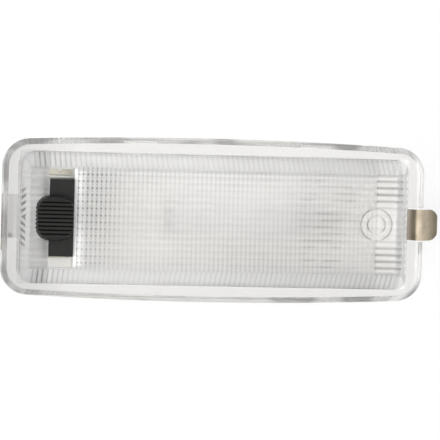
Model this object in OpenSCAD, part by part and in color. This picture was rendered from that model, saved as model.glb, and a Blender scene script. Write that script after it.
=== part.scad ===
// Interior lamp of a car with a prismatic lens, a slide switch and a spring clip. Millimetres.
// The lens faces +Z. The origin is the centre of the flange's back face, which seats on the panel.

/* [Flange] */
// Length of the flange over its ends
flange_length = 105; // [102:0.5:112]
// Width of the flange at its middle
flange_width = 40.25; // [38:0.25:46]
// How far each long side bows out
flange_bow = 1.4; // [0.6:0.1:2.4]
// Corner radius of the flange
flange_corner_r = 6.8; // [4:0.1:9]
// Thickness of the flange
flange_t = 2.4; // [2:0.1:3]
// Height of the upright edge under the bevel
flange_edge_h = 0.9; // [0.5:0.1:1.3]
// Width of the bevel round the flange
bevel_w = 1.45; // [0.8:0.05:1.8]

/* [Lens body] */
// How far the flange stands out of the body at its ends
end_margin = 4.4; // [4:0.1:5.5]
// How far the flange stands out of the body at the middle of its sides
side_margin = 4.025; // [3.5:0.025:4.6]
// Corner radius of the body
body_corner_r = 3.4; // [2.4:0.1:4.5]
// Run of each sloped end of the raised face
end_slope = 2.1; // [1.8:0.05:3.4]
// Run of each sloped side of the raised face
side_slope = 3.725; // [2.8:0.025:4]
// Height of the raised face above the flange
face_rise = 4; // [3.5:0.1:5]
// Thickness of the flat of the raised face, over the ribs
face_t = 2.2; // [1.9:0.1:2.5]
// Wall of the raised face's slopes
slope_t = 2.05; // [1.8:0.05:2.3]
// Depth of the skirt behind the flange
skirt_depth = 6; // [5.5:0.1:8]
// Wall of the skirt
skirt_wall = 1.5; // [1.3:0.1:1.8]

/* [Prisms] */
// Pitch of the ribs on the inner face, which run across the lens
inner_pitch = 1.12; // [0.9:0.01:1.6]
// Pitch of the ribs on the inner side of the long slopes
slope_pitch = 1.25; // [1:0.05:1.6]
// Depth of the ribs on the inner face
inner_depth = 0.35; // [0.2:0.01:0.45]
// Plain part of the inner face between its ribs and the end of the flat
inner_plain = 6.1; // [4:0.1:8]
// Pitch of the ribs on the outer face, which run along the lens
outer_pitch = 1.65; // [1.3:0.01:2.2]
// Depth of the ribs on the outer face
outer_depth = 0.25; // [0.15:0.01:0.35]
// Radius of the plain round pad on the inner face
pad_r = 3.9; // [2:0.1:4.5]
// Distance of the pad's middle from the end of the flat
pad_inset = 6.5; // [5.2:0.05:10]
// How far the pad stands out of the inner face
pad_rise = 0.25; // [0.1:0.05:0.5]

/* [Panel fixing] */
// Thickness of the panel that the lamp is clipped into
panel_t = 2.5; // [1.5:0.1:3]
// Width of the lug that hooks behind the panel
lug_width = 10.7; // [8:0.1:14]
// How far the lug reaches out of the body
lug_reach = 2.5; // [1.5:0.1:3.5]
// Thickness of the lug
lug_t = 1.9; // [1.4:0.1:2.4]
// Width of the notch in the flange for the clip
notch_width = 8.4; // [8.2:0.1:10]
// Width of the retaining clip
clip_width = 7.7; // [6:0.1:7.9]
// Thickness of the retaining clip
clip_t = 0.5; // [0.4:0.05:0.7]
// How far the clip's nose reaches out of the flange
clip_reach = 4.8; // [3:0.1:6]
// Height of the clip's rivet above the back of the tray
clip_rivet_rise = 4; // [3:0.1:6]

/* [Tray] */
// Depth of the lamp behind the panel plane
tray_depth = 16; // [15.4:0.1:20]
// Wall of the tray
tray_wall = 1.4; // [1.1:0.1:1.7]
// Floor of the tray
tray_floor = 1.5; // [1.3:0.1:2]
// Radius of the cove between floor and walls
cove_r = 2.6; // [1:0.1:3]
// Chamfer round the back of the tray
base_chamfer = 1; // [0.4:0.1:1.4]
// Thickness of the wall between switch and bulb chamber
partition_t = 2; // [1.7:0.1:2.6]
// Gap between tray and lens
tray_gap = 0.2; // [0.15:0.01:0.25]
// Length of each snap tongue of the tray
tongue_l = 8; // [6:0.5:11]

/* [Switch] */
// Width of the slot in the lens
slot_width = 7; // [6.8:0.1:7.6]
// Distance from the slot to the left end of the flat
slot_from_end = 4.6; // [4.2:0.1:6]
// Distance from each end of the slot to the edge of the flat
slot_inset = 0.375; // [0.1:0.025:0.8]
// How far the slider moves each way
slider_travel = 2.5; // [2:0.1:2.7]
// Running gap round the slider
slider_gap = 0.15; // [0.12:0.01:0.2]
// Width of the white edge of the partition that shows in the slot
rim_show = 0.7; // [0.4:0.05:0.8]
// Width of the thumb cap
cap_width = 9.3; // [8:0.1:10.5]
// Length of the thumb cap
cap_length = 11; // [9.5:0.1:12]
// Height of the thumb cap
cap_height = 3.7; // [3.2:0.1:4.5]
// How far the middle of the cap lies from the slider's middle
cap_offset = 1.75; // [1.2:0.05:2.4]
// Depth of the cap's saddle
saddle_depth = 1; // [0.5:0.1:1.3]
// Pitch of the ridges on the cap
ridge_pitch = 0.95; // [0.8:0.01:1.2]
// Number of grooves between the ridges
groove_count = 9; // [7:2:9]
// Depth of the grooves
groove_depth = 0.45; // [0.3:0.01:0.6]

/* [Contacts] */
// Thickness of the contact strips
strip_t = 0.5; // [0.4:0.05:0.6]
// Width of the strips and blades
blade_width = 4.8; // [4.2:0.1:4.8]
// Length of the blades
blade_length = 6.5; // [5:0.1:8]
// Half length of the middle contact pad
common_half = 4.5; // [4.2:0.1:4.6]
// Distance from the middle to the outer contact pads
outer_pad_y = 5.2; // [5:0.1:5.4]
// Width of the bridge spring
bridge_width = 2.6; // [2:0.1:2.8]
// Half length of the bridge spring
bridge_half = 5.3; // [5:0.1:5.6]
// Distance from the middle of the bridge spring to each foot
touch_y = 3.5; // [3.2:0.1:3.7]
// Radius of the rivets' shanks
rivet_r = 0.8; // [0.6:0.05:0.9]

/* [Bulb] */
// Length of the bulb over its end caps
bulb_length = 41; // [36:0.5:43]
// Radius of the bulb's glass
glass_r = 5.5; // [5:0.1:5.6]
// Wall of the bulb's glass
glass_wall = 0.6; // [0.4:0.1:0.8]
// Length of each end cap with its cone
end_cap_l = 7.5; // [6.5:0.1:8]
// Radius of the end caps
end_cap_r = 3.75; // [3.5:0.05:4]
// Where the middle of the bulb lies along the lamp
bulb_x = 6; // [2:0.5:10]
// Radius of the filament's wire
wire_r = 0.22; // [0.15:0.01:0.3]
// Radius of the filament's coils
coil_r = 0.55; // [0.4:0.05:0.8]
// Pitch of the filament's coils
coil_pitch = 0.9; // [0.8:0.1:1.2]
// Number of coils each way from the middle of the filament
coil_count = 5; // [3:1:7]

/* [Hidden] */
$fn = 48;
over = 1;
sink = 0.2;
half_l = flange_length / 2;
half_w = flange_width / 2;
body_x = half_l - end_margin;
body_y = half_w - side_margin;
face_x = body_x - end_slope;
face_y = body_y - side_slope;
pad_x = face_x - pad_inset;
face_z = flange_t + face_rise;
inner_z = face_z - face_t;
inner_x = body_x - skirt_wall;
inner_y = body_y - skirt_wall;

// Circle of the bowed side and centre of the corner circle that touches it
bow_r = (half_l * half_l + flange_bow * flange_bow) / (2 * flange_bow);
corner_x = half_l - flange_corner_r;
corner_y = sqrt(pow(bow_r - flange_corner_r, 2) - corner_x * corner_x) - (bow_r - half_w);
bow_angle = atan2(corner_y + bow_r - half_w, corner_x);
corner_steps = 14;
bow_steps = 16;

// Slot and slider
slot_x0 = -face_x + slot_from_end;
slot_x1 = slot_x0 + slot_width;
slot_length = 2 * (face_y - slot_inset);
slider_length = slot_length - 2 * (slider_travel + slider_gap);
partition_x0 = slot_x1 - rim_show;
partition_x1 = partition_x0 + partition_t;
plate_x0 = slot_x0 + slider_gap;
plate_x1 = partition_x0 - slider_gap - 0.1;
plate_mid = (plate_x0 + plate_x1) / 2;
guide_reach = 0.7;
guide_z0 = 0.8;
guide_z1 = 2;
plate_z = face_z - 0.5;
rail_w = 1.1;
rail_x1 = slot_x0 - 0.3;
rail_x0 = rail_x1 - rail_w;
cap_z = face_z + 0.5;
cap_x = plate_mid - cap_offset;
cap_corner_r = 3.4;
neck_half_y = 4;
recess_half = bridge_half + 0.5;
recess_z = guide_z1 + 0.4;
saddle_r = (pow(cap_length / 2, 2) + saddle_depth * saddle_depth) / (2 * saddle_depth);

// Tray
tray_x0 = rail_x0;
tray_x1 = inner_x - tray_gap;
tray_y = inner_y - tray_gap;
tray_top = slope_z(body_y, face_y, inner_y) - tray_gap;
room_x0 = partition_x1;
room_x1 = tray_x1 - tray_wall;
room_y = tray_y - tray_wall;
floor_z = -tray_depth + tray_floor;
platform_z = -1.5;
platform_t = 1.5;
partition_z = inner_z - 0.3;
tongue_x = [-18, 26];
hook_reach = 1.2;
hook_z0 = -skirt_depth + 1;
hook_z1 = hook_z0 + 1.8;
slit_w = 0.8;
slit_z0 = hook_z0 - 3;
rim_y0 = slider_length / 2 + 0.3;
rim_t = 0.5;

// Contacts
pad_z = platform_z + strip_t / 2;
lane_z = floor_z + strip_t / 2;
pad_x0 = plate_x0 + 1.2;
pad_x1 = partition_x0 - 0.4;
fold_r = 0.6;
blade_x = tray_x0 - fold_r;
pass_gap = 0.1;
riser_x = partition_x1 + fold_r;
feed_y = -room_y + cove_r + 0.8 + blade_width / 2;
lamp_y0 = -0.4;
lamp_y = lamp_y0 + blade_width / 2;
leaf_width = 8;
foot_l = 7;
foot_rivet_dx = foot_l / 2 + 0.5;
rivet_head_r = 1.4;
rivet_head_t = 0.5;
side_rivet_x = tray_x0 + 1.7;
side_rivet_y = 7.4;
contact_gap = 0.12;
foot_half = 0.4;
toe_rise = 1.1;
crown_half = 1.2;
latch_r = 0.75;
tip_run = 1;
tip_side = 0.8;

// Bulb
bulb_z = -6;
tip_r = 1.2;
cone_l = 3;
neck_r = end_cap_r - 0.35;
seat_l = 1.85;
seat_r = tip_r + (end_cap_r - tip_r) * seat_l / cone_l;
leaf_dx = bulb_length / 2 - seat_l + strip_t / 2;
leaf_top = bulb_z + end_cap_r + 1.2;

// Clip
clip_root_x = tray_x1 + clip_t / 2;
clip_rivet_z = -tray_depth + clip_rivet_rise;
clip_bend_z = clip_rivet_z + rivet_head_r + 2.2;
clip_nose_x = half_l + clip_reach;
clip_crest = 1.2;
window_z = -1.6;

// Inner side of a slope, from its outer base half b at the flange to its outer half f at the face
function slope_n(b, f) = [face_rise, b - f] / norm([face_rise, b - f]);
function slope_c(b, f) = slope_n(b, f) * [f, face_z] - slope_t;
function slope_u(b, f, z) = (slope_c(b, f) - slope_n(b, f)[1] * z) / slope_n(b, f)[0];
function slope_z(b, f, u) = (slope_c(b, f) - slope_n(b, f)[0] * u) / slope_n(b, f)[1];

// Points on an arc
function arc(c, r, a0, a1, n) = [for (i = [0:n]) let (a = a0 + (a1 - a0) * i / n) c + r * [cos(a), sin(a)]];

// Points of the bowed flange outline, moved in by inset
function half_outline(inset) = concat(
  arc([corner_x, corner_y], flange_corner_r - inset, 0, bow_angle, corner_steps),
  [for (i = [1:bow_steps - 1]) let (a = bow_angle + (180 - 2 * bow_angle) * i / bow_steps)
    [0, half_w - bow_r] + (bow_r - inset) * [cos(a), sin(a)]],
  arc([-corner_x, corner_y], flange_corner_r - inset, 180 - bow_angle, 180, corner_steps));
function outline(inset) = concat(half_outline(inset), -half_outline(inset));

// Zigzag of n ribs: starts at u0, its tips stand depth above v0
function zigzag(u0, v0, n, pitch, depth) = [for (i = [0:2 * n]) [u0 + i * pitch / 2, v0 + (i % 2) * depth]];

// Centreline of a folded strip: a run of points whose corners are bent to radius r
function turned(v, a) = [v[0] * cos(a) - v[1] * sin(a), v[0] * sin(a) + v[1] * cos(a)];
function bend(a, b, c, r) =
  let (u = (b - a) / norm(b - a), v = (c - b) / norm(c - b),
    turn = atan2(u[0] * v[1] - u[1] * v[0], u * v), side = [-u[1], u[0]] * sign(turn),
    start = b - r * tan(abs(turn) / 2) * u, n = ceil(abs(turn) / 12))
  [for (k = [0:n]) start + r * side - turned(r * side, turn * k / n)];
function route(p, r) = concat([p[0]], [for (i = [1:len(p) - 2]) each bend(p[i - 1], p[i], p[i + 1], r)],
  [p[len(p) - 1]]);
function unit(v) = v / norm(v);
function shifted(p, d) = [for (i = [0:len(p) - 1])
  let (u = unit(p[max(i, 1)] - p[max(i, 1) - 1]), v = unit(p[min(i, len(p) - 2) + 1] - p[min(i, len(p) - 2)]),
    m = [-u[1] - v[1], u[0] + v[0]])
  p[i] + 2 * d * m / (m * m)];
function reversed(p) = [for (i = [len(p) - 1:-1:0]) p[i]];

module rounded(x0, x1, half_y, r) {
  translate([x0 + r, -half_y]) square([x1 - x0 - 2 * r, 2 * half_y]);
  translate([x0, -half_y + r]) square([x1 - x0, 2 * half_y - 2 * r]);
  for (x = [x0 + r, x1 - r], y = [-half_y + r, half_y - r]) translate([x, y]) circle(r);
}

module box(x0, x1, y0, y1, z0, z1) {
  translate([x0, y0, z0]) cube([x1 - x0, y1 - y0, z1 - z0]);
}

// Profiles drawn as (x, z) and run along Y, or drawn as (y, z) and run along X
module along_y(y0, y1) {
  translate([0, y1, 0]) rotate([90, 0, 0]) linear_extrude(y1 - y0) children();
}
module along_x(x0, x1) {
  translate([x0, 0, 0]) rotate([90, 0, 90]) linear_extrude(x1 - x0) children();
}

module strip(p, r, t) {
  c = route(p, r);
  polygon(concat(shifted(c, t / 2), reversed(shifted(c, -t / 2))));
}

// Shank along +Z from z0 to z1 with a domed head on top and a flat head below
module rivet(x, y, z0, z1) {
  translate([x, y, z0]) rotate_extrude() polygon(concat(
    [[0, -rivet_head_t], [rivet_head_r, -rivet_head_t], [rivet_head_r, 0], [rivet_r, 0],
      [rivet_r, z1 - z0]],
    [for (a = [0:15:90]) [rivet_head_r * cos(a), z1 - z0 + rivet_head_t * sin(a)]]));
}

// Lens
module flange() {
  hull() {
    linear_extrude(flange_edge_h) polygon(outline(0));
    linear_extrude(flange_t) polygon(outline(bevel_w));
  }
}

// Raised face: four slopes up to the flat, over the rounded plan of the body
module raised_face() {
  intersection() {
    along_y(-body_y, body_y) polygon([[-body_x, 0], [body_x, 0], [body_x, flange_t], [face_x, face_z],
      [-face_x, face_z], [-body_x, flange_t]]);
    along_x(-body_x, body_x) polygon([[-body_y, 0], [body_y, 0], [body_y, flange_t], [face_y, face_z],
      [-face_y, face_z], [-body_y, flange_t]]);
    linear_extrude(face_z + over) rounded(-body_x, body_x, body_y, body_corner_r);
  }
}

// Ribs cut into the inner side of one long slope, running down it
module slope_ribs() {
  n = floor((inner_x - 1.5) / slope_pitch);
  z0 = slope_z(body_y, face_y, inner_y);
  run = (inner_z - z0) * norm([body_y - face_y, face_rise]) / face_rise;
  translate([0, inner_y, z0]) rotate([atan2(body_y - face_y, face_rise), 0, 0])
    linear_extrude(run) polygon(concat(zigzag(-n * slope_pitch, 0, 2 * n, slope_pitch, inner_depth),
      [[n * slope_pitch, -over / 2], [-n * slope_pitch, -over / 2]]));
}

// Hollow of the lens, whose roof carries the inner ribs
module lens_hollow() {
  low = -skirt_depth - over;
  flat_x = slope_u(body_x, face_x, inner_z);
  n = floor((face_x - inner_plain - slot_x1) / inner_pitch);
  intersection() {
    along_y(-body_y, body_y) polygon(concat(
      [[-inner_x, low], [-inner_x, slope_z(body_x, face_x, inner_x)], [-flat_x, inner_z]],
      zigzag(slot_x1, inner_z, n, inner_pitch, inner_depth),
      [[flat_x, inner_z], [inner_x, slope_z(body_x, face_x, inner_x)], [inner_x, low]]));
    union() {
      along_x(-body_x, body_x) polygon([[-inner_y, low], [inner_y, low],
        [inner_y, slope_z(body_y, face_y, inner_y)], [slope_u(body_y, face_y, inner_z + 1), inner_z + 1],
        [-slope_u(body_y, face_y, inner_z + 1), inner_z + 1], [-inner_y, slope_z(body_y, face_y, inner_y)]]);
      slope_ribs();
      mirror([0, 1, 0]) slope_ribs();
    }
    translate([0, 0, low]) linear_extrude(face_z - low)
      rounded(-inner_x, inner_x, inner_y, body_corner_r - skirt_wall);
  }
}

// Grooves between the outer ribs, which run along the flat and down both end slopes
module outer_grooves() {
  n = round(2 * face_y / outer_pitch);
  y0 = -n * outer_pitch / 2;
  lip = [[-y0, over], [y0, over]];
  run = norm([body_x - face_x, face_rise]);
  along_x(-face_x, face_x) translate([0, face_z])
    polygon(concat(zigzag(y0, 0, n, outer_pitch, -outer_depth), lip));
  for (m = [0, 1]) mirror([m, 0, 0]) translate([face_x, 0, face_z])
    rotate([0, atan2(face_rise, body_x - face_x), 0]) rotate([90, 0, 90])
      linear_extrude(run - 0.5) polygon(concat(zigzag(y0, 0, n, outer_pitch, -outer_depth), lip));
}

// Lug on the left end that hooks behind the panel, with a sloped nose
module lug() {
  z1 = -panel_t - 0.1;
  along_y(-lug_width / 2, lug_width / 2) polygon([[-body_x + skirt_wall / 2, z1],
    [-body_x - lug_reach, z1], [-body_x - lug_reach, z1 - lug_t / 2], [-body_x - lug_reach / 2, z1 - lug_t],
    [-body_x + skirt_wall / 2, z1 - lug_t]]);
}

module lens() {
  color([0.93, 0.94, 0.94, 0.45]) {
    difference() {
      union() {
        flange();
        raised_face();
        translate([0, 0, -skirt_depth]) linear_extrude(skirt_depth + sink)
          rounded(-body_x, body_x, body_y, body_corner_r);
        lug();
      }
      lens_hollow();
      outer_grooves();
      box(slot_x0, slot_x1, -slot_length / 2, slot_length / 2, inner_z - over, face_z + over);
      box(body_x, half_l + over, -notch_width / 2, notch_width / 2, -over, flange_t + over);
      box(inner_x - over, body_x + over, -notch_width / 2, notch_width / 2, -skirt_depth - over, window_z);
      for (x = tongue_x) box(x - tongue_l / 2 - 0.3, x + tongue_l / 2 + 0.3, -body_y - over, body_y + over,
        hook_z0, hook_z1 + 0.3);
    }
    translate([pad_x, 0, inner_z - pad_rise]) cylinder(h = pad_rise + inner_depth + sink, r = pad_r);
    box(rail_x0, rail_x1, -slot_length / 2, slot_length / 2, guide_z1 + slider_gap, inner_z + sink);
  }
}

// Tray
// Cross-section of the partition, which rises into the raised face
module partition_section() {
  top_y = slope_u(body_y, face_y, partition_z) - 2 * tray_gap;
  base_y = tray_y - tray_gap;
  polygon([[-tray_y, floor_z], [tray_y, floor_z], [tray_y, tray_top], [base_y, tray_top],
    [top_y, partition_z], [-top_y, partition_z], [-base_y, tray_top], [-tray_y, tray_top]]);
}

// Trims the two lower corners of a section that reaches from x0 to x1
module chamfered(x0, x1) {
  z = base_chamfer + over - tray_depth;
  polygon([[x0 - over, tray_top + over], [x0 - over, z], [x0 + base_chamfer, -tray_depth],
    [x1 - base_chamfer, -tray_depth], [x1 + over, z], [x1 + over, tray_top + over]]);
}

module room_section() {
  union() {
    translate([-room_y, floor_z + cove_r]) square([2 * room_y, tray_depth + tray_top]);
    translate([-room_y + cove_r, floor_z]) square([2 * room_y - 2 * cove_r, tray_depth]);
    for (y = [-room_y + cove_r, room_y - cove_r]) translate([y, floor_z + cove_r]) circle(cove_r);
  }
}

// Snap hook on the outside of a tongue, sloped so that the lens slides over it
module hook(x) {
  along_x(x - tongue_l / 2, x + tongue_l / 2) polygon([[tray_y - tray_wall / 2, hook_z0],
    [tray_y + hook_reach, hook_z0], [tray_y + hook_reach, hook_z0 + 0.4], [tray_y, hook_z1],
    [tray_y - tray_wall / 2, hook_z1]]);
}

module floor_hole(x, y) {
  translate([x, y, -tray_depth - over]) cylinder(h = tray_floor + 2 * over, r = rivet_r);
  translate([x, y, -tray_depth - over]) cylinder(h = over + rivet_head_t + 0.2, r = rivet_head_r + 0.2);
}

module reflector_tray() {
  color("white") {
    difference() {
      union() {
        intersection() {
          translate([0, 0, -tray_depth]) linear_extrude(tray_depth + tray_top) intersection() {
            rounded(partition_x0 - 2 * body_corner_r, tray_x1, tray_y, body_corner_r - skirt_wall);
            translate([partition_x0, -tray_y - over])
              square([tray_x1 + over - partition_x0, 2 * tray_y + 2 * over]);
          }
          along_x(partition_x0 - over, tray_x1 + over) chamfered(-tray_y, tray_y);
          along_y(-tray_y - over, tray_y + over) chamfered(partition_x0, tray_x1);
        }
        along_x(partition_x0, partition_x1) partition_section();
        box(tray_x0, partition_x1, -tray_y, tray_y, platform_z - platform_t, tray_top);
        for (x = tongue_x, m = [0, 1]) mirror([0, m, 0]) hook(x);
      }
      intersection() {
        along_x(room_x0, room_x1) room_section();
        box(room_x0, room_x1, -tray_y, tray_y, -tray_depth, partition_z + over);
      }
      box(tray_x0 - over, partition_x0, -room_y, room_y, platform_z, tray_top + over);
      box(partition_x0 - over, partition_x0 + guide_reach + slider_gap, -room_y, room_y,
        guide_z0 - slider_gap, guide_z1 + slider_gap);
      box(partition_x0 - over, partition_x1 + over, lamp_y - blade_width / 2 - pass_gap,
        lamp_y + blade_width / 2 + pass_gap, platform_z, platform_z + strip_t + pass_gap);
      box(partition_x0 - over, partition_x1 + over, feed_y - blade_width / 2 - pass_gap,
        feed_y + blade_width / 2 + pass_gap, floor_z, floor_z + strip_t + pass_gap);
      for (x = tongue_x, s = [-1, 1]) translate([x + s * (tongue_l / 2 + slit_w), 0, 0])
        box(-slit_w / 2, slit_w / 2, -tray_y - over, tray_y + over, slit_z0, tray_top + over);
      floor_hole(bulb_x + leaf_dx + foot_rivet_dx, 0);
      floor_hole(bulb_x - leaf_dx - foot_rivet_dx, lamp_y);
      for (s = [-1, 1]) translate([side_rivet_x, s * side_rivet_y, platform_z - platform_t - over])
        cylinder(h = platform_t + 2 * over, r = rivet_r);
      translate([room_x1 - over, 0, clip_rivet_z]) rotate([0, 90, 0])
        cylinder(h = tray_wall + 2 * over, r = rivet_r);
    }
    box(tray_x0, tray_x0 + rail_w, -common_half, common_half, platform_z - sink, guide_z0 - slider_gap);
    box(slot_x0 - 0.1, partition_x0 + sink, rim_y0, rim_y0 + rim_t, platform_z - sink, guide_z0 - 0.3);
  }
}

// Slider
module cap_plan(inset) {
  rounded(cap_x - cap_width / 2 + inset, cap_x + cap_width / 2 - inset, cap_length / 2 - inset,
    cap_corner_r - inset);
}

module thumb_cap() {
  crown = 0.35;
  lean = atan2(crown, cap_height * 0.7);
  top = cap_z + cap_height;
  saddle_z = top - saddle_depth + saddle_r;
  difference() {
    hull() {
      translate([0, 0, cap_z]) linear_extrude(0.01) cap_plan(0);
      translate([0, 0, cap_z + cap_height * 0.7]) linear_extrude(0.01) cap_plan(crown);
      translate([0, 0, top - 0.01]) linear_extrude(0.01) cap_plan(2.6 * crown);
    }
    translate([cap_x - cap_width, 0, saddle_z]) rotate([0, 90, 0])
      cylinder(h = 2 * cap_width, r = saddle_r, $fn = 96);
    for (i = [0:groove_count - 1]) {
      y = (i - (groove_count - 1) / 2) * ridge_pitch;
      z = saddle_z - sqrt(saddle_r * saddle_r - y * y);
      half = ridge_pitch * 0.34;
      along_x(cap_x - cap_width, cap_x + cap_width)
        polygon([[y - half, z + 0.2], [y + half, z + 0.2], [y, z - groove_depth]]);
      translate([cap_x - cap_width / 2, y, cap_z]) rotate([0, lean, 0])
        linear_extrude(cap_height + over, center = true)
          polygon([[-0.2, -half], [groove_depth * 0.8, 0], [-0.2, half]]);
    }
  }
}

module switch_slider() {
  color([0.13, 0.125, 0.12]) {
    difference() {
      union() {
        box(plate_x0 - rail_w - 0.1, partition_x0 + guide_reach, -slider_length / 2, slider_length / 2,
          guide_z0, guide_z1);
        box(plate_x0, plate_x1, -slider_length / 2, slider_length / 2, guide_z0, plate_z);
      }
      box(plate_mid - bridge_width / 2 - 0.3, plate_mid + bridge_width / 2 + 0.3, -recess_half, recess_half,
        guide_z0 - over, recess_z);
    }
    box(plate_x0 + 0.3, plate_mid + cap_width / 2 - cap_offset - 0.55, -neck_half_y, neck_half_y,
      plate_z - sink, cap_z + sink);
    thumb_cap();
  }
}

// The spring lies in the slider's recess and rubs on the pads at two rounded feet
module bridge_spring() {
  low = platform_z + strip_t + contact_gap + strip_t / 2;
  high = recess_z - strip_t / 2;
  color([0.72, 0.5, 0.3]) along_x(plate_mid - bridge_width / 2, plate_mid + bridge_width / 2)
    strip([[-bridge_half, low + toe_rise], [-touch_y - foot_half, low], [-touch_y + foot_half, low],
      [-crown_half, high], [crown_half, high], [touch_y - foot_half, low], [touch_y + foot_half, low],
      [bridge_half, low + toe_rise]], 0.9 * strip_t, strip_t);
}

// Contact strips
// Blade end: chamfered tip and a small latch hole, as a (y, z) outline below z
module blade_section(y, z) {
  w = blade_width / 2;
  translate([y, z]) difference() {
    polygon([[-w, 0], [w, 0], [w, -blade_length + tip_run], [w - tip_side, -blade_length],
      [tip_side - w, -blade_length], [-w, -blade_length + tip_run]]);
    translate([0, -blade_length / 2]) circle(latch_r);
  }
}

module side_strip(y0, y1) {
  z1 = platform_z - platform_t;
  along_y(y0, y1) strip([[pad_x1, pad_z], [blade_x, pad_z], [blade_x, z1]], fold_r, strip_t);
  along_x(blade_x - strip_t / 2, blade_x + strip_t / 2)
    blade_section(sign(y0) * (outer_pad_y + blade_width / 2), z1 + sink);
}

module side_rivet_hole(s) {
  translate([side_rivet_x, s * side_rivet_y, platform_z - over]) cylinder(h = 2 * over, r = rivet_r);
}

module earth_strip() {
  color([0.78, 0.7, 0.45]) difference() {
    side_strip(-outer_pad_y - blade_width, -outer_pad_y);
    side_rivet_hole(-1);
  }
}

module door_strip() {
  tab_y0 = rim_y0 + rim_t + 0.2;
  tab_y1 = slot_length / 2 - 0.3;
  color([0.7, 0.68, 0.52]) difference() {
    union() {
      side_strip(outer_pad_y, rim_y0 - 0.2);
      box(tray_x0, slot_x0 - 0.3, outer_pad_y, tab_y1, platform_z, platform_z + strip_t);
      box(tray_x0, pad_x1, tab_y0, tab_y1, platform_z, platform_z + strip_t);
    }
    side_rivet_hole(1);
    translate([plate_mid, tab_y1, platform_z - over]) linear_extrude(2 * over)
      polygon([[-0.7, 0.1], [0.7, 0.1], [0, -0.9]]);
  }
}

// Upright leaf that holds one end of the bulb, with its foot on the floor; s is 1 or -1
module leaf(s) {
  x = bulb_x + s * leaf_dx;
  difference() {
    along_y(-leaf_width / 2, leaf_width / 2) strip([[x + s * foot_l, lane_z], [x, lane_z],
      [x, leaf_top], [x + s * 0.9, leaf_top + 1.4]], fold_r, strip_t);
    translate([x - over, 0, bulb_z]) rotate([0, 90, 0]) cylinder(h = 2 * over, r = seat_r + 0.04);
    translate([x + s * foot_rivet_dx, s > 0 ? 0 : lamp_y, lane_z - over])
      cylinder(h = 2 * over, r = rivet_r);
  }
}

module feed_strip() {
  foot_x = bulb_x + leaf_dx + foot_l;
  tip_x = tray_x0 - tip_run;
  color([0.78, 0.7, 0.45]) {
    leaf(1);
    difference() {
      translate([0, 0, floor_z]) linear_extrude(strip_t) difference() {
        union() {
          translate([tray_x0, feed_y - blade_width / 2]) square([foot_x - tray_x0, blade_width]);
          polygon([[tip_x, feed_y - blade_width / 2 + tip_side], [tray_x0, feed_y - blade_width / 2],
            [tray_x0, feed_y + blade_width / 2], [tip_x, feed_y + blade_width / 2 - tip_side]]);
          translate([foot_x - foot_l + 2, feed_y]) square([foot_l - 2, -feed_y]);
        }
        translate([tip_x + blade_length / 2, feed_y]) circle(latch_r);
        translate([bulb_x + leaf_dx + foot_rivet_dx, 0]) circle(rivet_r);
      }
    }
  }
}

module lamp_strip() {
  foot_x = bulb_x - leaf_dx - foot_l;
  color([0.78, 0.7, 0.45]) {
    leaf(-1);
    along_y(lamp_y - blade_width / 2, lamp_y + blade_width / 2) strip([[foot_x + 1, lane_z],
      [riser_x, lane_z], [riser_x, pad_z], [pad_x0, pad_z]], fold_r, strip_t);
    box(pad_x0, pad_x1, -common_half, common_half, platform_z, platform_z + strip_t);
  }
}

// Bulb
module bulb_glass() {
  l = bulb_length / 2 - cone_l;
  body_l = bulb_length / 2 - end_cap_l - 2.3;
  shoulder = [for (a = [0:15:75]) [body_l + 2 * sin(a), neck_r + (glass_r - neck_r) * cos(a)]];
  outside = concat([[0, glass_r]], shoulder, [[body_l + 2.2, neck_r], [l, neck_r]]);
  color([0.95, 0.95, 0.93, 0.35]) translate([bulb_x, 0, bulb_z]) rotate([0, 90, 0])
    for (m = [0, 1]) mirror([0, 0, m]) rotate_extrude() polygon(concat(
      [for (p = outside) [p[1], p[0]]], [for (p = reversed(outside)) [p[1] - glass_wall, p[0]]]));
}

module end_cap(s) {
  l = bulb_length / 2;
  color([0.75, 0.75, 0.73]) translate([bulb_x, 0, bulb_z]) rotate([0, s * 90, 0]) difference() {
    rotate_extrude() polygon([[0, l - end_cap_l], [end_cap_r, l - end_cap_l], [end_cap_r, l - cone_l],
      [tip_r, l], [0, l]]);
    translate([0, 0, l - end_cap_l - over]) cylinder(h = end_cap_l - cone_l + over, r = neck_r);
  }
}

// Coiled wire drawn as its outer form, between two lead wires that end on the caps
module bulb_filament() {
  reach = bulb_length / 2 - cone_l;
  color([0.45, 0.43, 0.42]) translate([bulb_x - reach, 0, bulb_z]) rotate([0, 90, 0]) {
    cylinder(h = 2 * reach, r = wire_r, $fn = 16);
    for (i = [-coil_count:coil_count]) translate([0, 0, reach + i * coil_pitch])
      cylinder(h = coil_pitch - 0.4, r = coil_r, $fn = 20);
  }
}

// Clip: root on the tray's end wall, leaning leg, crest in the notch, outer leg and curled nose
module retaining_clip() {
  crest_x = body_x + 2.6;
  crest_z = 1.9;
  nose_z = -4.4;
  nose_r = 3;
  color([0.66, 0.62, 0.56]) difference() {
    intersection() {
      along_y(-clip_width / 2, clip_width / 2) strip([[clip_root_x, -tray_depth + 0.8],
        [clip_root_x, clip_bend_z], [crest_x, crest_z], [crest_x + clip_crest, crest_z],
        [clip_nose_x - clip_t / 2, nose_z + 1.2], [clip_nose_x - 1.6, nose_z - 1.2]], 0.9, clip_t);
      translate([0, 0, -tray_depth]) linear_extrude(tray_depth + face_z)
        rounded(tray_x1 - 2 * nose_r, clip_nose_x, clip_width / 2, nose_r);
    }
    translate([tray_x1 - over, 0, clip_rivet_z]) rotate([0, 90, 0]) cylinder(h = 2 * over, r = rivet_r);
  }
}

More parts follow.
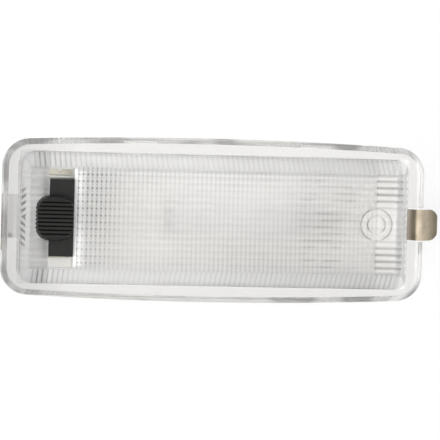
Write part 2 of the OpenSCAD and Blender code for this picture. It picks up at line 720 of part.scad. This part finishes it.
module brass() {
  color([0.8, 0.68, 0.4]) children();
}
module clip_rivet() {
  brass() translate([room_x1, 0, clip_rivet_z]) rotate([0, 90, 0]) rivet(0, 0, 0, tray_wall + clip_t);
}
module feed_rivet() {
  brass() rivet(bulb_x + leaf_dx + foot_rivet_dx, 0, -tray_depth + rivet_head_t + 0.2,
    floor_z + strip_t);
}
module lamp_rivet() {
  brass() rivet(bulb_x - leaf_dx - foot_rivet_dx, lamp_y, -tray_depth + rivet_head_t + 0.2,
    floor_z + strip_t);
}
module earth_rivet() {
  brass() rivet(side_rivet_x, -side_rivet_y, platform_z - platform_t, platform_z + strip_t);
}
module door_rivet() {
  brass() rivet(side_rivet_x, side_rivet_y, platform_z - platform_t, platform_z + strip_t);
}

lens();
reflector_tray();
switch_slider();
bridge_spring();
feed_strip();
lamp_strip();
earth_strip();
door_strip();
bulb_glass();
end_cap(-1);  // bulb_cap_left
end_cap(1);  // bulb_cap_right
bulb_filament();
retaining_clip();
clip_rivet();
feed_rivet();
lamp_rivet();
earth_rivet();
door_rivet();
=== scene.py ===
"""Looks of a car dome light: clear prismatic lens, white tray, black slide switch and a spring clip."""

import math

import bpy
from mathutils import Matrix, Vector

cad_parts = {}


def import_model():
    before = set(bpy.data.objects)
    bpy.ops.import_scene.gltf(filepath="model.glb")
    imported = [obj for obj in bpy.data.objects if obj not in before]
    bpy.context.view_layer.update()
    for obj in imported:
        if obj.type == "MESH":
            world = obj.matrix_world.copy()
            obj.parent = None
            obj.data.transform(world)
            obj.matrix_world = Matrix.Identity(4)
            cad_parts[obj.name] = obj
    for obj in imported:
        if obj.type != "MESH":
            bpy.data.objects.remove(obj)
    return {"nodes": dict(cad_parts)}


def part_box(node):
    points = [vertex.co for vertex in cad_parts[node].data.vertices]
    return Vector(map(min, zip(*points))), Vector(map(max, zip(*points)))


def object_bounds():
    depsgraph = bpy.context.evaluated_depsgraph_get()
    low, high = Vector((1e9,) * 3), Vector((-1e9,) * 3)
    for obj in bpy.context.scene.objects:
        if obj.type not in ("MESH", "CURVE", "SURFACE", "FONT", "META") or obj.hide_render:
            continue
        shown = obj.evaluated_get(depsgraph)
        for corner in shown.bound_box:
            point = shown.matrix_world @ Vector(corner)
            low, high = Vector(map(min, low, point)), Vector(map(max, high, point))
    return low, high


# Photograph: its side in pixels, where the middle of the flange shows, in pixels from the left and the top,
# how long the flange shows, and how far the picture is rolled
PHOTO_SIDE = 440
FLANGE_PX = (211.9, 220.5)
FLANGE_LENGTH_PX = 421.6
PHOTO_ROLL = math.radians(1.57)

# Camera: how far it stands to the left (-X) and to the top (+Y) of straight above, how far away, and from
# where to where it sees
LEAN_X = math.radians(9)
LEAN_Y = math.radians(2)
CAMERA_DISTANCE = 0.7
CAMERA_RANGE = (0.01, 10)
SENSOR_MM = 36

# The lens, in metres: height of the flange's widest line, half sizes of the raised face and of the body,
# ends of the slot, and where the ribs across the face and those on its long slopes stop
FLANGE_EDGE = 0.0005
FACE_HALF = (0.046, 0.012375)
BODY_HALF = (0.0481, 0.0161)
SLOT_START = -0.0414
SLOT_END = -0.0344
RIBS_END = 0.0395
SLOPE_RIBS_END = 0.045

# Pitch of the ribs across and along the face and on its long slopes, and how far each line of painted
# shade shows from its middle
ACROSS_PITCH = 0.00112
ALONG_PITCH = 0.00165
SLOPE_PITCH = 0.00125
ACROSS_WIDTH = 0.00035
ALONG_WIDTH = 0.00045
SLOPE_WIDTH = 0.0003
CREST_WIDTH = 0.0003

# Length over which one shade turns into the next
SOFT = 0.0002

# Tint, roughness and clearness of the flange and of the ribbed body. The band is the body's slopes, and the
# right end slope keeps only a share of its clearness. The bevel and what lies behind the panel get painted
# light
LENS_IOR = 1.5
FLANGE_TINT = (0.845, 0.838, 0.825)
RIBS_TINT = (0.95, 0.946, 0.94)
PAINTED_SHADE_GREY = (0.15, 0.15, 0.15)
FLANGE_ROUGH = 0.02
RIBS_ROUGH = 0.4
ROUGH_SPREAD = 0.01
FLANGE_CLEAR = 0.9
RIBS_CLEAR = 0.75
BAND_CLEAR = 0.5
RIGHT_SLOPE = 0.3
BEHIND_PAINTED_LIGHT = 0.8
BEVEL_PAINTED_LIGHT = 0.8
BEHIND_Z = (-0.0012, -0.0002)

# What clear pieces leave of the light that passes them
LENS_SHADOW = 0.97
GLASS_SHADOW = 0.98

# Lines of painted shade on the ribs: how dark they show, where and how far they fade to the right, and how
# much stronger those on the slopes are near both ends
ACROSS_PAINTED_SHADE = 0.26
ALONG_PAINTED_SHADE = 0.08
LINES_FADE = (0.012, 0.03)
LINES_FADED = 0.4
SLOPE_PAINTED_SHADE = 0.25
SLOPE_ENDS = 2.5
SLOPE_ENDS_X = (0.033, 0.041)

# Dots of painted shade where the lines cross, darkest beside the slot
DOT_PAINTED_SHADE = 1.1
CREST_DOTS = 0.5
DOT_FADE = (SLOT_END + 0.005, SLOT_END + 0.012)
DOT_FADED = 0.12

# Broken dashes of painted shade far from the switch: darkness, size and sharpness of their breaks, and where
# they start, stop and soften
FAR_DASHES = 0.26
FAR_SCALE = 330
FAR_STRETCH = (0.5, 1, 1)
FAR_BREAKS = (0.45, 0.6)
FAR_X = (0.022, 0.033, 0.0025)

# Dashes of painted shade on the end slopes: near the corners on the right, and slanted, in the middle, on the
# left
RIGHT_DASHES = 0.7
RIGHT_DASHES_LEAST = 0.07
RIGHT_DASHES_Y = (0.003, 0.007)
LEFT_DASHES = 0.9
LEFT_DASHES_X = (-0.0478, -0.0470)
LEFT_DASHES_Y = (0.006, 0.008)
LEFT_DASH_WIDTH = 0.0006
DASH_SLANT = -0.8

# Wide painted shade on the body: left of the slot, growing to the right, and weaker again past the ribs
LEFT_PAINTED_SHADE = 0.27
RIGHT_PAINTED_SHADE = 0.16
RIGHT_PAINTED_SHADE_START = -0.005
PAST_RIBS = 0.112
PAST_RIBS_X = (RIBS_END, RIBS_END + 0.0005)
BLOTCH_SCALE = 45
BLOTCHES = (0.5, 1.3)

# Round pad: its middle, its rings' radii and darkness, and how near its middle the rings are weak
PAD = (0.0395, 0)
PAD_RINGS = (0.0039, 0.0022)
RING_DARK = 0.6
RING_WIDTH = (0.0001, 0.00025)
RING_WEAK = 0.2
RING_WEAK_X = (0.0008, 0.002)

# Flange: patches of painted shade on its bevel, strongest in the corners and at most EDGE_MOST elsewhere, the
# noise at which they come in, and the painted shade on the flange's left and low sides
BEVEL_LOOKS_UP = (0.75, 0.97)
EDGE_SHADE_PATCHES = 0.9
EDGE_MOST = 0.7
EDGE_SCALE = 70
EDGE_STARTS = (0.5, 0.6)
CORNER_X = (0.046, 0.0495)
CORNER_Y = (0.0125, 0.0165)
CORNER_SCALE = 150
CORNER_PATCHES = (0.2, 1)
CORNER_STARTS = (0.45, 0.58)
FLANGE_LEFT_PAINTED_SHADE = 0.22
FLANGE_LEFT_X = (-0.05, SLOT_END)
FLANGE_LOW_PAINTED_SHADE = 0.08
FLANGE_LOW_Y = (-0.018, -0.005)

# Finishes: their light and dark blotches, in colours as they show on screen, 0 to 255, and how far down from
# its top the tray's rim is painted plain white as a painted highlight
WHITE = ((240, 239, 236), (234, 233, 229))
BLACK = ((30, 29, 28), (23, 22, 21))
STRIP = ((188, 185, 172), (150, 147, 134))
BRONZE = ((200, 165, 130), (170, 135, 100))
CAP = ((215, 214, 210), (190, 189, 186))
TUNGSTEN = ((120, 118, 115), (90, 88, 86))
RIVET = ((215, 195, 145), (185, 165, 115))
CLIP = ((200, 188, 168), (168, 156, 138))
RIM_PAINTED_HIGHLIGHT = 0.0006

# Grain: how fine the noise is that changes colour, roughness and bumps, how far the roughness of metal and
# glass goes with it, and how strong and high the bumps are
PLASTIC_GRAIN = (160, 700, 2500)
PLASTIC_BUMP = 0.00002
METAL_BLOTCHES = 220
METAL_GRAIN = 900
METAL_FINENESS = 0.6
METAL_SPREAD = 0.08
METAL_BUMP = (0.2, 0.00003)
CLEAR_GRAIN = 500
GLASS_ROUGH = 0.02
LENS_WAVES = 350
LENS_BUMP = (0.03, 0.00002)

# Clip: where it bends before its crest and where its nose curls, the colour and height of the painted light
# on its upper leg, its painted shade and its grain
CLIP_BEND = 0.0499
CLIP_BEND_WIDTH = (0.0003, 0.0008)
CLIP_BEND_PAINTED_SHADE = 0.45
CLIP_NOSE = (0.0535, 0.0562)
CLIP_NOSE_PAINTED_SHADE = 0.75
CLIP_LEG_PAINTED_LIGHT = (0.95, 0.86, 0.74)
CLIP_LEG_WEIGHT = 0.8
CLIP_LEG_TOP = (-0.005, -0.001)
CLIP_PAINTED_SHADE = (0.12, 0.1, 0.06)
CLIP_ROUGH = (0.6, 0.7)
CLIP_BLOTCHES = 260
CLIP_STRETCH = (1, 14, 1)

# Room: the floor's side, its gap under the part and how much of its white is its own, then daylight, and each
# lamp's place, side and watts
FLOOR_SIZE = 4
FLOOR_GAP = 0.0002
FLOOR_GLOW = 0.8
WORLD_LEVEL = 0.48
FRONT = ((-0.26, -0.05, 0.6), 0.35, 2.3)
KEY = ((0.3, 0.35, 0.55), 0.5, 1.2)
FILL = ((-0.4, -0.2, 0.5), 0.5, 0.8)

STRIPS = ("feed_strip", "lamp_strip", "earth_strip", "door_strip")
CAPS = ("bulb_cap_left", "bulb_cap_right")
RIVETS = ("clip_rivet", "feed_rivet", "lamp_rivet", "earth_rivet", "door_rivet")


def look_setup():
    scene = bpy.context.scene
    scene.view_settings.view_transform = "Standard"
    scene.cycles.max_bounces = 24
    scene.cycles.transmission_bounces = 20
    scene.cycles.transparent_max_bounces = 24
    scene.cycles.glossy_bounces = 8
    scene.cycles.diffuse_bounces = 6
    scene.cycles.caustics_refractive = True
    scene.cycles.caustics_reflective = False


def camera(low, high):
    """Camera that shows the flange, from low to high along X, at its place in the photograph."""
    cam = bpy.data.objects.new("camera", bpy.data.cameras.new("camera"))
    bpy.context.scene.collection.objects.link(cam)
    bpy.context.scene.camera = cam
    back = Vector((-math.tan(LEAN_X), math.tan(LEAN_Y), 1)).normalized()
    cam.location = back * CAMERA_DISTANCE
    # Up in the picture is +Y, turned by the photograph's roll
    level = Vector((0, 1, 0)).cross(back).normalized()
    right = level * math.cos(PHOTO_ROLL) + back.cross(level) * math.sin(PHOTO_ROLL)
    up = back.cross(right)
    cam.rotation_mode = "QUATERNION"
    cam.rotation_quaternion = Matrix((right, up, back)).transposed().to_quaternion()

    def seen(x):
        ray = Vector((x, 0, FLANGE_EDGE)) - cam.location
        depth = -ray.dot(back)
        return Vector((ray.dot(right) / depth, ray.dot(up) / depth))

    left_end, right_end = seen(low), seen(high)
    zoom = FLANGE_LENGTH_PX / PHOTO_SIDE / (right_end - left_end).length
    middle = (left_end + right_end) / 2 * zoom
    cam.data.sensor_width = SENSOR_MM
    cam.data.lens = SENSOR_MM * zoom
    cam.data.shift_x = middle.x - (FLANGE_PX[0] / PHOTO_SIDE - 0.5)
    cam.data.shift_y = middle.y - (0.5 - FLANGE_PX[1] / PHOTO_SIDE)
    cam.data.clip_start, cam.data.clip_end = CAMERA_RANGE


class Shader:
    """Builds one node material. A value is a number or a socket, and places are in metres."""

    def __init__(self, name):
        self.material = bpy.data.materials.new(name)
        self.material.use_nodes = True
        self.tree = self.material.node_tree
        self.nodes = self.tree.nodes
        self.nodes.clear()
        self.out = self.node("OutputMaterial")
        self.coords = self.node("TexCoord")

    def node(self, kind, **values):
        made = self.nodes.new("ShaderNode" + kind)
        for key, value in values.items():
            made.inputs[key.replace("_", " ")].default_value = value
        return made

    def link(self, a, b):
        self.tree.links.new(a, b)

    def put(self, value, socket):
        """Gives a socket its value: a number, a colour or another socket."""
        if isinstance(value, (int, float)):
            socket.default_value = value
        elif isinstance(value, tuple):
            socket.default_value = (*value, 1)
        else:
            self.link(value, socket)

    def parts(self, vector):
        """X, Y and Z of a vector."""
        made = self.node("SeparateXYZ")
        self.link(vector, made.inputs[0])
        return made.outputs

    def place(self):
        return self.parts(self.coords.outputs["Object"])

    def level(self):
        """1 on faces that look up or down, and 0 on upright ones."""
        return self.size(self.parts(self.coords.outputs["Normal"])[2])

    def noise(self, scale, detail=4.0, stretch=None, roughness=0.5):
        made = self.node("TexNoise", Scale=scale, Detail=detail, Roughness=roughness)
        place = self.coords.outputs["Object"]
        if stretch:
            mapping = self.node("Mapping", Scale=stretch)
            self.link(place, mapping.inputs["Vector"])
            place = mapping.outputs["Vector"]
        self.link(place, made.inputs["Vector"])
        return made.outputs["Fac"]

    def ranged(self, value, low, high, from_low=0.3, from_high=0.7):
        made = self.node("MapRange", From_Min=from_low, From_Max=from_high, To_Min=low, To_Max=high)
        self.link(value, made.inputs["Value"])
        return made.outputs["Result"]

    def mixed(self, amount, first, second):
        """The first colour, turned towards the second by amount."""
        made = self.node("Mix")
        made.data_type = "RGBA"
        self.put(amount, made.inputs["Factor"])
        colours = [i for i in made.inputs if i.type == "RGBA"]
        self.put(first, colours[0])
        self.put(second, colours[1])
        return next(o for o in made.outputs if o.type == "RGBA")

    def math(self, operation, *values):
        made = self.node("Math")
        made.operation = operation
        for value, socket in zip(values, made.inputs):
            self.put(value, socket)
        return made.outputs[0]

    def times(self, first, *others):
        for other in others:
            first = self.math("MULTIPLY", first, other)
        return first

    def plus(self, first, *others):
        for other in others:
            first = self.math("ADD", first, other)
        return first

    def minus(self, a, b):
        return self.math("SUBTRACT", a, b)

    def size(self, value):
        return self.math("ABSOLUTE", value)

    def from_to(self, value, low, high, soft=SOFT):
        """1 between low and high, and 0 outside."""
        rises = self.ranged(value, 0, 1, low - soft, low)
        return self.times(rises, self.ranged(value, 1, 0, high, high + soft))

    def within(self, value, half, soft=2 * SOFT):
        """1 where value lies within half of 0, and 0 outside."""
        return self.ranged(self.size(value), 1, 0, half - soft, half + soft)

    def lines(self, value, start, pitch, width):
        """1 on lines that start at start, and 0 further than width from one."""
        step = self.math("DIVIDE", self.minus(value, start), pitch)
        nearest = self.size(self.minus(step, self.math("ROUND", step)))
        return self.ranged(nearest, 1, 0, 0, width / pitch)

    def bump(self, height, strength, distance):
        made = self.node("Bump", Strength=strength, Distance=distance)
        self.link(height, made.inputs["Height"])
        return made.outputs["Normal"]

    def finish(self, surface):
        self.link(surface.outputs[0], self.out.inputs["Surface"])
        return self.material


def linear(r, g, b):
    """Colour as it shows on screen, 0 to 255, as the renderer's linear numbers."""
    def one(v):
        v /= 255
        return v / 12.92 if v <= 0.04045 else ((v + 0.055) / 1.055) ** 2.4
    return (one(r), one(g), one(b))


def blotched(s, shades, scale, detail=4.0):
    """Colour that changes between the light and the dark shade."""
    light, dark = shades
    return s.mixed(s.ranged(s.noise(scale, detail), 0, 1), linear(*dark), linear(*light))


def plastic(name, shades, roughness, rough_spread, bump_strength, gloss, rim=None):
    """Moulded plastic, painted plain white above the height rim as a painted highlight."""
    s = Shader(name)
    bsdf = s.node("BsdfPrincipled", Metallic=0.0, IOR=1.49, Specular_IOR_Level=gloss)
    colour_scale, rough_scale, bump_scale = PLASTIC_GRAIN
    colour = blotched(s, shades, colour_scale)
    if rim is not None:
        # Painted highlight: plain white above the rim height
        colour = s.mixed(s.ranged(s.place()[2], 0, 1, rim - SOFT, rim), colour, (1, 1, 1))
    s.link(colour, bsdf.inputs["Base Color"])
    rough = s.ranged(s.noise(rough_scale, 2), roughness - rough_spread, roughness + rough_spread)
    s.link(rough, bsdf.inputs["Roughness"])
    s.link(s.bump(s.noise(bump_scale, 3), bump_strength, PLASTIC_BUMP), bsdf.inputs["Normal"])
    return s.finish(bsdf)


def metal(name, shades, roughness):
    """Rolled or drawn metal with a fine grain."""
    s = Shader(name)
    bsdf = s.node("BsdfPrincipled", Metallic=1.0)
    grain = s.noise(METAL_GRAIN, roughness=METAL_FINENESS)
    s.link(blotched(s, shades, METAL_BLOTCHES), bsdf.inputs["Base Color"])
    s.link(s.ranged(grain, roughness - METAL_SPREAD, roughness + METAL_SPREAD), bsdf.inputs["Roughness"])
    s.link(s.bump(grain, *METAL_BUMP), bsdf.inputs["Normal"])
    return s.finish(bsdf)


def clip_steel():
    """Spring steel with blotches, painted light on its upper leg and painted shade in its bend and towards
    its nose.
    """
    s = Shader("spring_steel")
    bsdf = s.node("BsdfPrincipled", Metallic=0.75)
    x, _, z = s.place()
    colour = blotched(s, CLIP, CLIP_BLOTCHES, 3)
    # Painted light: the upper leg before the bend turns towards a lighter colour
    before_bend = s.ranged(x, CLIP_LEG_WEIGHT, 0, CLIP_BEND - 2 * SOFT, CLIP_BEND)
    colour = s.mixed(s.times(before_bend, s.ranged(z, 0, 1, *CLIP_LEG_TOP)), colour, CLIP_LEG_PAINTED_LIGHT)
    # Painted shade in the bend and towards the nose
    in_bend = s.ranged(s.size(s.minus(x, CLIP_BEND)), CLIP_BEND_PAINTED_SHADE, 0, *CLIP_BEND_WIDTH)
    dark = s.plus(in_bend, s.ranged(x, 0, CLIP_NOSE_PAINTED_SHADE, *CLIP_NOSE))
    s.link(s.mixed(dark, colour, CLIP_PAINTED_SHADE), bsdf.inputs["Base Color"])
    grain = s.noise(METAL_GRAIN, stretch=CLIP_STRETCH, roughness=METAL_FINENESS)
    s.link(s.ranged(grain, *CLIP_ROUGH), bsdf.inputs["Roughness"])
    s.link(s.bump(grain, *METAL_BUMP), bsdf.inputs["Normal"])
    return s.finish(bsdf)


def let_lamps_through(s, bsdf, tint):
    """Lamps and daylight pass a clear piece without bending; what is seen through it bends."""
    through = s.node("BsdfTransparent", Color=(tint, tint, tint, 1))
    mix = s.node("MixShader")
    s.link(s.node("LightPath").outputs["Is Shadow Ray"], mix.inputs[0])
    s.link(bsdf.outputs[0], mix.inputs[1])
    s.link(through.outputs[0], mix.inputs[2])
    return s.finish(mix)


def bulb_glass():
    s = Shader("bulb_glass")
    bsdf = s.node("BsdfPrincipled", Metallic=0.0, IOR=1.45, Transmission_Weight=1.0)
    s.link(s.mixed(s.ranged(s.noise(90), 0, 1), (0.99, 0.99, 0.99), (1, 1, 1)), bsdf.inputs["Base Color"])
    s.link(s.ranged(s.noise(CLEAR_GRAIN, 2), 0, GLASS_ROUGH), bsdf.inputs["Roughness"])
    return let_lamps_through(s, bsdf, GLASS_SHADOW)


def rib_painted_shade(s, x, y, on_face, along):
    """Painted shade: lines across and along the face, dots where they cross, broken dashes far from the
    switch.
    """
    ribbed = s.times(s.from_to(x, SLOT_END, RIBS_END), on_face)
    across = s.times(s.lines(x, SLOT_END, ACROSS_PITCH, ACROSS_WIDTH), ribbed)
    lines = s.plus(s.times(across, ACROSS_PAINTED_SHADE), s.times(along, ALONG_PAINTED_SHADE))
    lines = s.times(lines, s.ranged(x, 1, LINES_FADED, *LINES_FADE))
    broken = s.ranged(s.noise(FAR_SCALE, 2, FAR_STRETCH), 0, FAR_DASHES, *FAR_BREAKS)
    far = s.times(broken, s.from_to(x, *FAR_X), s.times(along, ribbed))
    crests = s.times(s.lines(y, 0, ALONG_PITCH, CREST_WIDTH), CREST_DOTS)
    dots = s.times(across, s.plus(along, crests), DOT_PAINTED_SHADE)
    return s.plus(lines, far, s.times(dots, s.ranged(x, 1, DOT_FADED, *DOT_FADE)))


def slope_painted_shade(s, x, on_face):
    """Lines of painted shade on the long slopes, stronger near both ends."""
    off_face = s.times(s.minus(1, on_face), s.within(x, SLOPE_RIBS_END))
    lines = s.times(s.lines(x, 0, SLOPE_PITCH, SLOPE_WIDTH), off_face)
    return s.times(lines, s.ranged(s.size(x), 1, SLOPE_ENDS, *SLOPE_ENDS_X), SLOPE_PAINTED_SHADE)


def dash_painted_shade(s, x, y, along):
    """Dashes of painted shade near the corners of the right end slope, and slanted ones in the middle of the
    left one.
    """
    off_middle = s.size(y)
    right = s.times(s.from_to(x, RIBS_END, FACE_HALF[0]),
                    s.ranged(off_middle, RIGHT_DASHES_LEAST, RIGHT_DASHES, *RIGHT_DASHES_Y))
    left = s.times(s.from_to(x, *LEFT_DASHES_X), s.ranged(off_middle, LEFT_DASHES, 0, *LEFT_DASHES_Y))
    slanted = s.plus(off_middle, s.times(x, DASH_SLANT))
    left = s.times(left, s.lines(slanted, 0, ALONG_PITCH, LEFT_DASH_WIDTH))
    return s.plus(s.times(along, right), left)


def ring_dark(s, x, y):
    """The pad's rings, weaker above and below its middle."""
    dx, dy = s.minus(x, PAD[0]), s.minus(y, PAD[1])
    radius = s.math("SQRT", s.plus(s.times(dx, dx), s.times(dy, dy)))
    rings = [s.ranged(s.size(s.minus(radius, ring)), 1, 0, *RING_WIDTH) for ring in PAD_RINGS]
    return s.times(s.plus(*rings), s.ranged(s.size(dx), RING_WEAK, 1, *RING_WEAK_X), RING_DARK)


def edge_painted_shade(s, x, y, level, bevel):
    """Painted shade: patches on the bevel round the flange, and shade on the flange to the left and below."""
    corner = s.times(s.ranged(s.size(x), 0, 1, *CORNER_X), s.ranged(s.size(y), 0, 1, *CORNER_Y))
    corner = s.times(corner, s.ranged(s.noise(CORNER_SCALE, 1), *CORNER_PATCHES, *CORNER_STARTS))
    patches = s.math("MAXIMUM", s.ranged(s.noise(EDGE_SCALE, 1), 0, EDGE_MOST, *EDGE_STARTS), corner)
    left = s.times(s.ranged(x, FLANGE_LEFT_PAINTED_SHADE, 0, *FLANGE_LEFT_X), level)
    patches = s.times(bevel, EDGE_SHADE_PATCHES, patches)
    return s.plus(patches, left, s.ranged(y, FLANGE_LOW_PAINTED_SHADE, 0, *FLANGE_LOW_Y))


def body_painted_shade(s, x, y, on_face, on_body):
    """Painted shade on the ribbed body, plus the pad's rings: 0 is its tint, and 1 is dark grey."""
    # Lines of painted shade between the ribs along the face
    along = s.times(s.lines(y, ALONG_PITCH / 2, ALONG_PITCH, ALONG_WIDTH), on_face)
    dark = s.plus(rib_painted_shade(s, x, y, on_face, along), slope_painted_shade(s, x, on_face), dash_painted_shade(s, x, y, along))
    dark = s.times(dark, s.ranged(s.noise(BLOTCH_SCALE, 2), *BLOTCHES))
    # Wide painted shade: left of the slot, growing to the right, and weaker again past the ribs
    dark = s.plus(dark, s.ranged(x, LEFT_PAINTED_SHADE, 0, SLOT_START - SOFT, SLOT_START))
    dark = s.plus(dark, s.ranged(x, 0, RIGHT_PAINTED_SHADE, RIGHT_PAINTED_SHADE_START, RIBS_END))
    dark = s.minus(dark, s.ranged(x, 0, PAST_RIBS, *PAST_RIBS_X))
    return s.times(s.plus(dark, ring_dark(s, x, y)), on_body)


def lens_clear(s, x, on_face, on_body):
    """How clear the lens is; what isn't clear is milky."""
    on_flat = s.times(on_face, s.within(x, FACE_HALF[0]))
    ribs = s.ranged(on_flat, BAND_CLEAR, RIBS_CLEAR, 0, 1)
    ribs = s.times(ribs, s.ranged(x, 1, RIGHT_SLOPE, FACE_HALF[0] - SOFT, FACE_HALF[0]))
    return s.minus(FLANGE_CLEAR, s.times(on_body, s.minus(FLANGE_CLEAR, ribs)))


def clear_lens():
    """Clear moulding: bare on the flange, milky on the ribs, with painted shade in the valleys between them.
    """
    s = Shader("clear_lens")
    bsdf = s.node("BsdfPrincipled", Metallic=0.0, IOR=LENS_IOR)
    x, y, z = s.place()
    on_face = s.within(y, FACE_HALF[1])
    on_body = s.times(s.within(x, BODY_HALF[0]), s.within(y, BODY_HALF[1]))
    level = s.ranged(s.level(), 0, 1, *BEVEL_LOOKS_UP)
    bevel = s.times(s.minus(1, level), s.minus(1, on_body))
    # Painted light: the bevel and what lies behind the panel take the body's lighter tint
    white = s.math("MAXIMUM", s.ranged(z, BEHIND_PAINTED_LIGHT, 0, *BEHIND_Z), s.times(bevel, BEVEL_PAINTED_LIGHT))
    tint = s.mixed(white, s.mixed(on_body, FLANGE_TINT, RIBS_TINT), RIBS_TINT)
    # Painted shade of the body and the flange turns the tint towards grey
    dark = s.plus(body_painted_shade(s, x, y, on_face, on_body), edge_painted_shade(s, x, y, level, bevel))
    s.link(s.mixed(s.math("MINIMUM", dark, 1), tint, PAINTED_SHADE_GREY), bsdf.inputs["Base Color"])
    spread = s.ranged(s.noise(CLEAR_GRAIN, 2), -ROUGH_SPREAD, ROUGH_SPREAD)
    rough = s.plus(s.ranged(on_body, FLANGE_ROUGH, RIBS_ROUGH, 0, 1), spread)
    s.link(rough, bsdf.inputs["Roughness"])
    s.link(s.bump(s.noise(LENS_WAVES, 2), *LENS_BUMP), bsdf.inputs["Normal"])
    s.link(lens_clear(s, x, on_face, on_body), bsdf.inputs["Transmission Weight"])
    return let_lamps_through(s, bsdf, LENS_SHADOW)


def finishes():
    """The material of each node."""
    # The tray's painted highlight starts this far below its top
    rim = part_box("reflector_tray")[1].z - RIM_PAINTED_HIGHLIGHT
    made = {
        "lens": clear_lens(),
        "reflector_tray": plastic("white_plastic", WHITE, roughness=0.45, rough_spread=0.06,
                                  bump_strength=0.12, gloss=0.5, rim=rim),
        "switch_slider": plastic("black_plastic", BLACK, roughness=0.5, rough_spread=0.08,
                                 bump_strength=0.35, gloss=0.2),
        "bridge_spring": metal("bronze", BRONZE, roughness=0.3),
        "bulb_glass": bulb_glass(),
        "bulb_filament": metal("tungsten", TUNGSTEN, roughness=0.35),
        "retaining_clip": clip_steel(),
    }
    made.update(dict.fromkeys(STRIPS, metal("strip_brass", STRIP, roughness=0.35)))
    made.update(dict.fromkeys(CAPS, metal("cap_metal", CAP, roughness=0.28)))
    made.update(dict.fromkeys(RIVETS, metal("rivet_brass", RIVET, roughness=0.3)))
    return made


def dress(nodes):
    made = finishes()
    for name, node in nodes.items():
        node.data.materials.clear()
        node.data.materials.append(made[name])


def seen_directly(tree):
    """1 for what the camera, a mirror or clear material sees, 0 for light that falls on the object."""
    path = tree.nodes.new("ShaderNodeLightPath")
    total = path.outputs["Is Camera Ray"]
    for name in ("Is Glossy Ray", "Is Transmission Ray"):
        either = tree.nodes.new("ShaderNodeMath")
        either.operation = "MAXIMUM"
        tree.links.new(total, either.inputs[0])
        tree.links.new(path.outputs[name], either.inputs[1])
        total = either.outputs[0]
    return total


def floor(z):
    """White floor: part of its white is its own where it is looked at, and the rest keeps the shadow."""
    bpy.ops.mesh.primitive_plane_add(size=FLOOR_SIZE, location=(0, 0, z))
    plane = bpy.context.object
    plane.name = "floor"
    s = Shader("floor")
    lit = s.node("BsdfPrincipled", Roughness=0.9, Base_Color=(0.9, 0.9, 0.9, 1))
    white = s.node("Emission", Strength=1.0)
    mix = s.node("MixShader")
    s.link(s.times(seen_directly(s.tree), FLOOR_GLOW), mix.inputs[0])
    s.link(lit.outputs[0], mix.inputs[1])
    s.link(white.outputs[0], mix.inputs[2])
    plane.data.materials.append(s.finish(mix))


def world(strength):
    """White behind everything, and even daylight of the given strength on the object."""
    w = bpy.data.worlds.new("studio")
    bpy.context.scene.world = w
    w.use_nodes = True
    nodes, links = w.node_tree.nodes, w.node_tree.links
    nodes.clear()
    mix = nodes.new("ShaderNodeMixShader")
    links.new(seen_directly(w.node_tree), mix.inputs[0])
    for socket, level in zip(mix.inputs[1:], (strength, 1)):
        background = nodes.new("ShaderNodeBackground")
        background.inputs["Color"].default_value = (1, 1, 1, 1)
        background.inputs["Strength"].default_value = level
        links.new(background.outputs[0], socket)
    links.new(mix.outputs[0], nodes.new("ShaderNodeOutputWorld").inputs["Surface"])


def area_light(name, place, side, power):
    """Square lamp that looks at the origin."""
    data = bpy.data.lights.new(name, "AREA")
    data.shape = "SQUARE"
    data.size = side
    data.energy = power
    lamp = bpy.data.objects.new(name, data)
    bpy.context.scene.collection.objects.link(lamp)
    lamp.location = place
    lamp.rotation_mode = "QUATERNION"
    lamp.rotation_quaternion = (-Vector(place)).to_track_quat("-Z", "Y")


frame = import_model()
cad_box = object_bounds()
look_setup()
lens_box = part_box("lens")
camera(lens_box[0].x, lens_box[1].x)
dress(frame["nodes"])
floor(cad_box[0].z - FLOOR_GAP)
world(WORLD_LEVEL)
area_light("front", *FRONT)
area_light("key", *KEY)
area_light("fill", *FILL)
